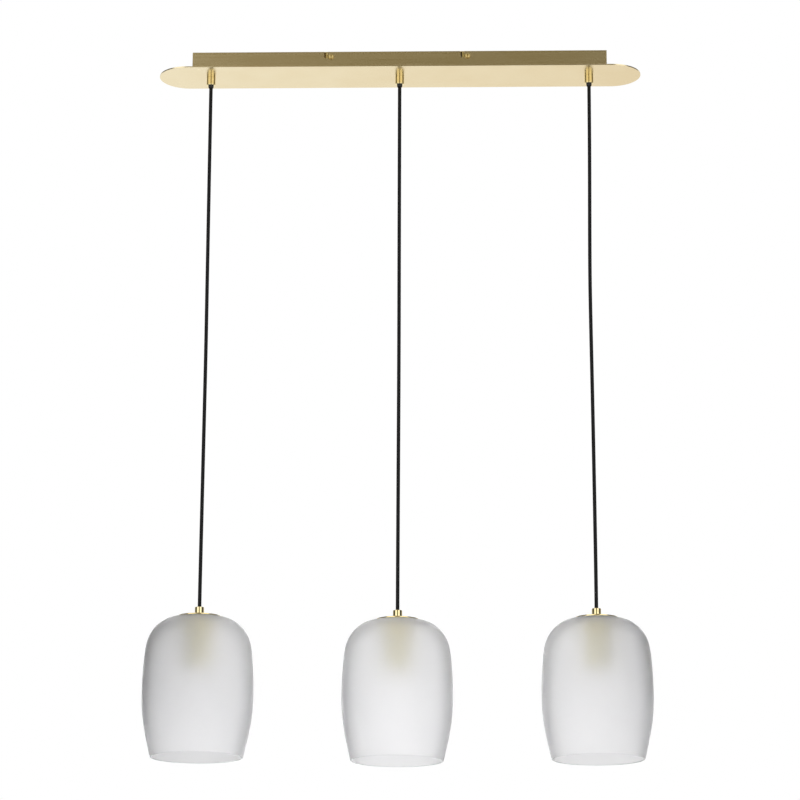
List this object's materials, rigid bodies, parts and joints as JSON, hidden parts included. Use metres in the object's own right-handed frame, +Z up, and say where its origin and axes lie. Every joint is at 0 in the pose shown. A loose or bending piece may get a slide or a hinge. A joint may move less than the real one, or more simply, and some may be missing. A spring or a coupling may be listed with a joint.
{
  "type": "linear island pendant",
  "caption": "Linear island pendant: long flat canopy with round ends, cord grips, black cords and open frosted glass shades that swing and turn.",
  "frame": {"origin": "on the ceiling plane, at the centre of the two ceiling screw slots", "axes": "+X along the canopy, +Z up to the ceiling, the front faces -Y"},
  "size_m": [0.8186, 0.1786, 1.1944],
  "materials": {
    "satin_brass": "satin",
    "polished_brass": "polished",
    "plain_brass": "plain",
    "zinc_steel": "zinc plated",
    "yellow_zinc": "yellow zinc plated",
    "nickel_steel": "nickel plated",
    "white_plastic": "moulded",
    "black_plastic": "moulded",
    "cord_sheath": "extruded",
    "lead_sheath": "extruded",
    "silicone": "moulded",
    "etched_glass": "acid etched",
    "porcelain": "glazed"
  },
  "bodies": {
    "bracket": {"mounting_bracket": "yellow_zinc", "bracket_screws": "polished_brass"},
    "canopy": {"canopy_box": "satin_brass", "face_plate": "satin_brass", "nipple_washers": "zinc_steel", "nipple_nuts": "zinc_steel", "terminal_block": "white_plastic", "terminal_screws": "zinc_steel", "earth_screw": "plain_brass", "earth_nut": "plain_brass", "lead_left": "lead_sheath", "grip_sleeve_left": "polished_brass", "grip_nipple_left": "zinc_steel", "lead_middle": "lead_sheath", "grip_sleeve_middle": "polished_brass", "grip_nipple_middle": "zinc_steel", "lead_right": "lead_sheath", "grip_sleeve_right": "polished_brass", "grip_nipple_right": "zinc_steel"},
    "bush_left": {"swivel_bush_left": "black_plastic"},
    "hanger_left": {"cord_left": "cord_sheath", "cord_clamp_left": "black_plastic"},
    "lamp_left": {"lower_grip_left": "polished_brass", "lamp_nipple_left": "zinc_steel", "shade_cap_left": "polished_brass", "cap_gasket_left": "silicone", "glass_shade_left": "etched_glass", "holder_shell_left": "satin_brass", "shade_ring_left": "polished_brass", "holder_insert_left": "porcelain", "lamp_shell_left": "nickel_steel", "centre_contact_left": "plain_brass"},
    "bush_middle": {"swivel_bush_middle": "black_plastic"},
    "hanger_middle": {"cord_middle": "cord_sheath", "cord_clamp_middle": "black_plastic"},
    "lamp_middle": {"lower_grip_middle": "polished_brass", "lamp_nipple_middle": "zinc_steel", "shade_cap_middle": "polished_brass", "cap_gasket_middle": "silicone", "glass_shade_middle": "etched_glass", "holder_shell_middle": "satin_brass", "shade_ring_middle": "polished_brass", "holder_insert_middle": "porcelain", "lamp_shell_middle": "nickel_steel", "centre_contact_middle": "plain_brass"},
    "bush_right": {"swivel_bush_right": "black_plastic"},
    "hanger_right": {"cord_right": "cord_sheath", "cord_clamp_right": "black_plastic"},
    "lamp_right": {"lower_grip_right": "polished_brass", "lamp_nipple_right": "zinc_steel", "shade_cap_right": "polished_brass", "cap_gasket_right": "silicone", "glass_shade_right": "etched_glass", "holder_shell_right": "satin_brass", "shade_ring_right": "polished_brass", "holder_insert_right": "porcelain", "lamp_shell_right": "nickel_steel", "centre_contact_right": "plain_brass"}
  },
  "joints": [
    {"name": "canopy_shift", "type": "slide", "parent": "bracket", "child": "canopy", "axis": [1, 0, 0], "range_m": [0, 0.009]},
    {"name": "swing_front_left", "type": "hinge", "parent": "canopy", "child": "bush_left", "pos_m": [-0.32, 0, -0.0455], "axis": [1, 0, 0], "range_deg": [-15, 15]},
    {"name": "swing_side_left", "type": "hinge", "parent": "bush_left", "child": "hanger_left", "pos_m": [-0.32, 0, -0.0455], "axis": [0, 1, 0], "range_deg": [-3.5, 3.5]},
    {"name": "turn_left", "type": "hinge", "parent": "hanger_left", "child": "lamp_left", "pos_m": [-0.32, 0, -0.9455], "axis": [0, 0, 1], "range_deg": [-180, 180]},
    {"name": "swing_front_middle", "type": "hinge", "parent": "canopy", "child": "bush_middle", "pos_m": [0, 0, -0.0455], "axis": [1, 0, 0], "range_deg": [-15, 15]},
    {"name": "swing_side_middle", "type": "hinge", "parent": "bush_middle", "child": "hanger_middle", "pos_m": [0, 0, -0.0455], "axis": [0, 1, 0], "range_deg": [-3.5, 3.5]},
    {"name": "turn_middle", "type": "hinge", "parent": "hanger_middle", "child": "lamp_middle", "pos_m": [0, 0, -0.9511], "axis": [0, 0, 1], "range_deg": [-180, 180]},
    {"name": "swing_front_right", "type": "hinge", "parent": "canopy", "child": "bush_right", "pos_m": [0.32, 0, -0.0455], "axis": [1, 0, 0], "range_deg": [-15, 15]},
    {"name": "swing_side_right", "type": "hinge", "parent": "bush_right", "child": "hanger_right", "pos_m": [0.32, 0, -0.0455], "axis": [0, 1, 0], "range_deg": [-3.5, 3.5]},
    {"name": "turn_right", "type": "hinge", "parent": "hanger_right", "child": "lamp_right", "pos_m": [0.32, 0, -0.9484], "axis": [0, 0, 1], "range_deg": [-180, 180]}
  ]
}
